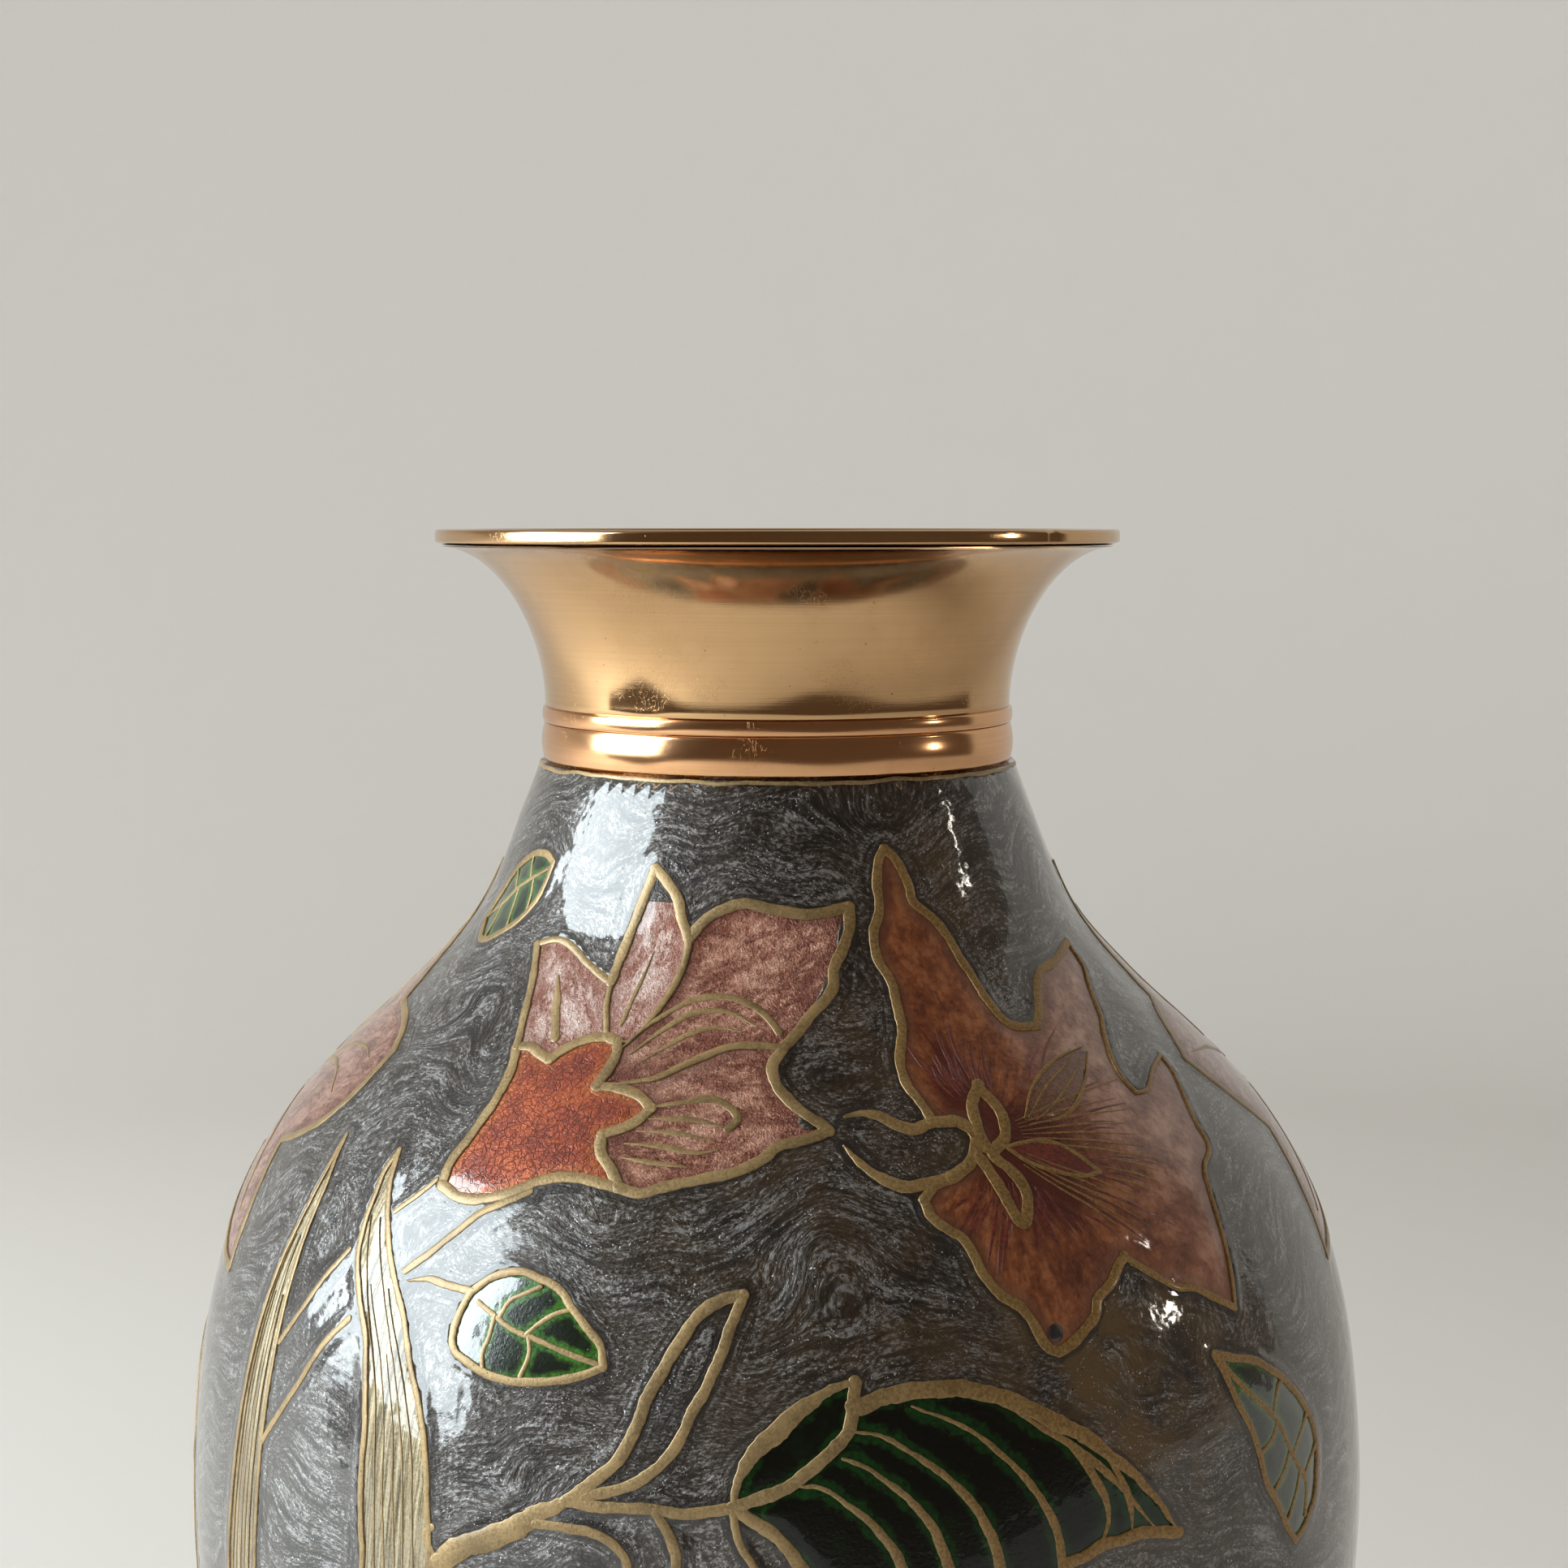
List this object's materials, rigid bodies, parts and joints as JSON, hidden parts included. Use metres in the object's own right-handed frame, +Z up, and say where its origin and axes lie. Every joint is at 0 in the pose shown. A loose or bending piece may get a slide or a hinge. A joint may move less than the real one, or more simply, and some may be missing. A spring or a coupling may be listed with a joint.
{
  "type": "enamelled brass vase",
  "caption": "Baluster vase with a flared brass neck and foot; the body carries flowers and leaves of raised brass wire filled with enamel.",
  "frame": {"origin": "centre of the foot's bottom face, which is the bottom centre of the bounding box", "axes": "+Z up along the axis of revolution, from the foot to the lip; -Y is the front, where the bell flower and the lily stand"},
  "size_m": [0.1386, 0.139, 0.24],
  "materials": {
    "polished_brass": "polished on a lathe, pale champagne tone, fine turning lines and small pits",
    "wire_brass": "flat-ground, matt khaki gold, slightly proud of the enamel",
    "raw_brass": "unpolished, dull and brown, as left inside the vase",
    "slate_enamel": "glossy pearlescent slate blue-grey with dark brush streaks",
    "pink_enamel": "glossy pearlescent dusty pink",
    "rose_enamel": "glossy pearlescent rose shading to rust red at the heart",
    "orange_enamel": "glossy orange red, finely crackled",
    "green_enamel": "glossy translucent dark green, brighter along the wires",
    "grey_enamel": "glossy pearlescent grey green",
    "straw_enamel": "glossy cream gold with fine lengthwise lines"
  },
  "bodies": {
    "root": {"lip_ring": "polished_brass", "neck_tube": "polished_brass", "neck_bead": "polished_brass", "neck_collar": "polished_brass", "foot_pedestal": "polished_brass", "upper_body_shell": "raw_brass", "lower_body_shell": "raw_brass", "base_disc": "raw_brass", "ground_enamel": "slate_enamel", "bell_flower_wire_1": "wire_brass", "lily_wire_1": "wire_brass", "small_leaf_wire_1": "wire_brass", "striped_leaf_wire_1": "wire_brass", "celled_leaf_wire_1": "wire_brass", "tall_blade_wire_1": "wire_brass", "short_blade_wire_1": "wire_brass", "curling_leaf_wire_1": "wire_brass", "bell_cup_enamel_1": "orange_enamel", "bell_petals_enamel_1": "pink_enamel", "lily_enamel_1": "rose_enamel", "small_leaf_enamel_1": "green_enamel", "striped_leaf_enamel_1": "green_enamel", "celled_leaf_enamel_1": "grey_enamel", "tall_blade_enamel_1": "straw_enamel", "short_blade_enamel_1": "straw_enamel", "curling_leaf_enamel_1": "slate_enamel", "star_flower_wire_1": "wire_brass", "upper_leaf_wire_1": "wire_brass", "side_leaf_wire_1": "wire_brass", "lower_leaf_wire_1": "wire_brass", "star_flower_enamel_1": "pink_enamel", "upper_leaf_enamel_1": "grey_enamel", "side_leaf_enamel_1": "green_enamel", "lower_leaf_enamel_1": "green_enamel", "bell_flower_wire_2": "wire_brass", "lily_wire_2": "wire_brass", "small_leaf_wire_2": "wire_brass", "striped_leaf_wire_2": "wire_brass", "celled_leaf_wire_2": "wire_brass", "tall_blade_wire_2": "wire_brass", "short_blade_wire_2": "wire_brass", "curling_leaf_wire_2": "wire_brass", "bell_cup_enamel_2": "orange_enamel", "bell_petals_enamel_2": "pink_enamel", "lily_enamel_2": "rose_enamel", "small_leaf_enamel_2": "green_enamel", "striped_leaf_enamel_2": "green_enamel", "celled_leaf_enamel_2": "grey_enamel", "tall_blade_enamel_2": "straw_enamel", "short_blade_enamel_2": "straw_enamel", "curling_leaf_enamel_2": "slate_enamel", "star_flower_wire_2": "wire_brass", "upper_leaf_wire_2": "wire_brass", "side_leaf_wire_2": "wire_brass", "lower_leaf_wire_2": "wire_brass", "star_flower_enamel_2": "pink_enamel", "upper_leaf_enamel_2": "grey_enamel", "side_leaf_enamel_2": "green_enamel", "lower_leaf_enamel_2": "green_enamel"}
  },
  "joints": []
}
